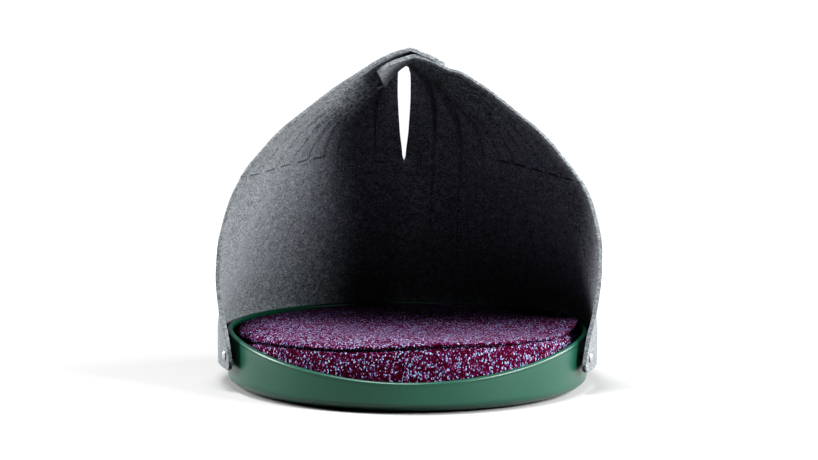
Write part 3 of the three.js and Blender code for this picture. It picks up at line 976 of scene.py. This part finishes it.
def tray_material():
    m = Nodes("tray_plastic")
    tone = m.noise(9, 2, 0.5)
    colour = m.ramp(tone, [(0.3, (0.0115, 0.06, 0.039)), (0.7, (0.013, 0.066, 0.043))])
    m.join(colour, m.shader.inputs["Base Color"])
    rough = m.ramp(m.noise(38, 4, 0.6), [(0.3, (0.3, 0.3, 0.3)), (0.7, (0.37, 0.37, 0.37))])
    m.join(rough, m.shader.inputs["Roughness"])
    m.shader.inputs["IOR"].default_value = 1.5
    m.bump(m.noise(1300, 2, 0.5), 0.00006, 0.5)
    return m.mat


def metal_material():
    m = Nodes("stud_metal")
    colour = m.ramp(m.noise(900, 3, 0.6), [(0.3, (0.5, 0.5, 0.51)), (0.7, (0.66, 0.66, 0.67))])
    m.join(colour, m.shader.inputs["Base Color"])
    m.shader.inputs["Metallic"].default_value = 1.0
    rough = m.ramp(m.noise(2600, 2, 0.5), [(0.3, (0.22, 0.22, 0.22)), (0.7, (0.34, 0.34, 0.34))])
    m.join(rough, m.shader.inputs["Roughness"])
    m.bump(m.noise(2200, 2, 0.5), 0.00003, 0.4)
    return m.mat


# Pieces

hood, hood_area = build_hood()
hood.data.materials.append(felt_material())

TRAY_SEGMENTS = 320
tray = mesh_object("tray_shell", *turned(tray_profile, TRAY_SEGMENTS), "tray")
tray.data.materials.append(tray_material())

cushion = build_cushion()
cushion.data.materials.append(cushion_material())

metal = metal_material()
for side, name in ((-1, "stud_left"), (1, "stud_right")):
    stud = build_stud(side, name + "_cap", name)
    stud.data.materials.append(metal)


# Studio


# Lamps, in metres and watts: name, place, the point it faces, its size and its power.
LAMPS = [
    ("key", (1.85, -1.0, 0.95), (-0.12, 0.0, 0.16), (1.2, 0.9), 94),
    ("right", (1.9, 0.4, 0.9), (0, 0, 0.15), (0.8, 1.0), 52),
    ("left", (-1.9, 0.1, 0.9), (0, 0, 0.15), (0.6, 1.0), 62),
    ("top", (-0.35, -0.75, 2.2), (0, -0.05, 0.15), (1.0, 0.6), 66),
]


def area_light(name, place, target, size, power):
    data = bpy.data.lights.new(name, "AREA")
    data.shape = "RECTANGLE"
    data.size, data.size_y = size
    data.energy = power
    obj = bpy.data.objects.new(name, data)
    obj.location = place
    obj.rotation_euler = (Vector(target) - Vector(place)).to_track_quat("-Z", "Y").to_euler()
    bpy.context.scene.collection.objects.link(obj)


# The floor in metres: its rings, how far out it starts to glow and where it is all white.
FLOOR_RINGS = [0.3, 0.6, 1.0, 1.5]
FLOOR_SIDES = 48
FLOOR_DROP = 0.0002
GLOW_FROM = 0.45
GLOW_TO = 1.1

# Grey of the paper as it lights the object and as the camera sees it, and the same for the world.
FLOOR_BOUNCE = 0.12
FLOOR_SEEN = 0.46
WORLD_FILL = 0.03
WORLD_SEEN = 1.05

# Tone curve: linear level in, level shown. It only deepens the darks.
TONE_CURVE = [(0.02, 0.006), (0.05, 0.027), (0.11, 0.09), (0.25, 0.25)]


def floor_material():
    """White paper, lit to pure white away from the object, that throws little light back up."""
    m = Nodes("floor_paper")
    rays = m.add("ShaderNodeLightPath")
    seen = m.math("MAXIMUM", rays.outputs["Is Camera Ray"], rays.outputs["Is Glossy Ray"])
    m.join(m.mix(seen, (FLOOR_BOUNCE,) * 3, (FLOOR_SEEN,) * 3), m.shader.inputs["Base Color"])
    m.shader.inputs["Roughness"].default_value = 0.9
    m.shader.inputs["Specular IOR Level"].default_value = 0.0
    length = m.add("ShaderNodeVectorMath", operation="LENGTH")
    m.join(m.place, length.inputs[0])
    far = m.add("ShaderNodeMapRange", interpolation_type="SMOOTHSTEP")
    far.inputs["From Min"].default_value = GLOW_FROM
    far.inputs["From Max"].default_value = GLOW_TO
    m.join(length.outputs["Value"], far.inputs["Value"])
    m.shader.inputs["Emission Color"].default_value = (1, 1, 1, 1)
    m.join(m.math("MULTIPLY", far.outputs["Result"], seen), m.shader.inputs["Emission Strength"])
    return m.mat


def build_floor():
    pts, faces = [(0, 0, 0)], []
    for r in FLOOR_RINGS:
        for k in range(FLOOR_SIDES):
            a = 2 * math.pi * k / FLOOR_SIDES
            pts.append((r * math.cos(a), r * math.sin(a), 0))
    for k in range(FLOOR_SIDES):
        n = (k + 1) % FLOOR_SIDES
        faces.append((0, 1 + k, 1 + n))
        for j in range(len(FLOOR_RINGS) - 1):
            i, o = 1 + j * FLOOR_SIDES, 1 + (j + 1) * FLOOR_SIDES
            faces.append((i + k, o + k, o + n, i + n))
    mesh = bpy.data.meshes.new("floor")
    mesh.from_pydata(pts, [], faces)
    floor = bpy.data.objects.new("floor", mesh)
    floor.data.materials.append(floor_material())
    bpy.context.scene.collection.objects.link(floor)
    floor.location.z = -FLOOR_DROP


def build_world():
    """Seen white by the camera, but giving the object only a little light."""
    world = bpy.data.worlds.new("studio")
    bpy.context.scene.world = world
    world.use_nodes = True
    tree = world.node_tree
    back = tree.nodes["Background"]
    back.inputs["Color"].default_value = (1, 1, 1, 1)
    rays = tree.nodes.new("ShaderNodeLightPath")
    level = tree.nodes.new("ShaderNodeMapRange")
    level.inputs["To Min"].default_value = WORLD_FILL
    level.inputs["To Max"].default_value = WORLD_SEEN
    tree.links.new(rays.outputs["Is Camera Ray"], level.inputs["Value"])
    tree.links.new(level.outputs["Result"], back.inputs["Strength"])


def set_tones(view):
    view.view_transform = "Standard"
    view.look = "None"
    view.use_curve_mapping = True
    combined = view.curve_mapping.curves[3]
    for level, shown in TONE_CURVE:
        combined.points.new(level, shown)
    view.curve_mapping.update()


# The camera fitted to the photograph: place in metres, angles in degrees, lens in millimetres.
CAMERA_PLACE = (0.00076, -2.1975, 0.3854)
CAMERA_PITCH = 5.669
CAMERA_ROLL = 0.4
CAMERA_LENS = 89.15


def build_camera():
    data = bpy.data.cameras.new("camera")
    data.sensor_width = 36
    data.lens = CAMERA_LENS
    data.clip_start = 0.05
    data.clip_end = 60
    cam = bpy.data.objects.new("camera", data)
    cam.location = CAMERA_PLACE
    pitch = Matrix.Rotation(math.radians(90 - CAMERA_PITCH), 3, "X")
    cam.rotation_euler = (pitch @ Matrix.Rotation(math.radians(CAMERA_ROLL), 3, "Z")).to_euler()
    bpy.context.scene.collection.objects.link(cam)
    bpy.context.scene.camera = cam


build_floor()
for lamp in LAMPS:
    area_light(*lamp)
build_world()
build_camera()
set_tones(bpy.context.scene.view_settings)
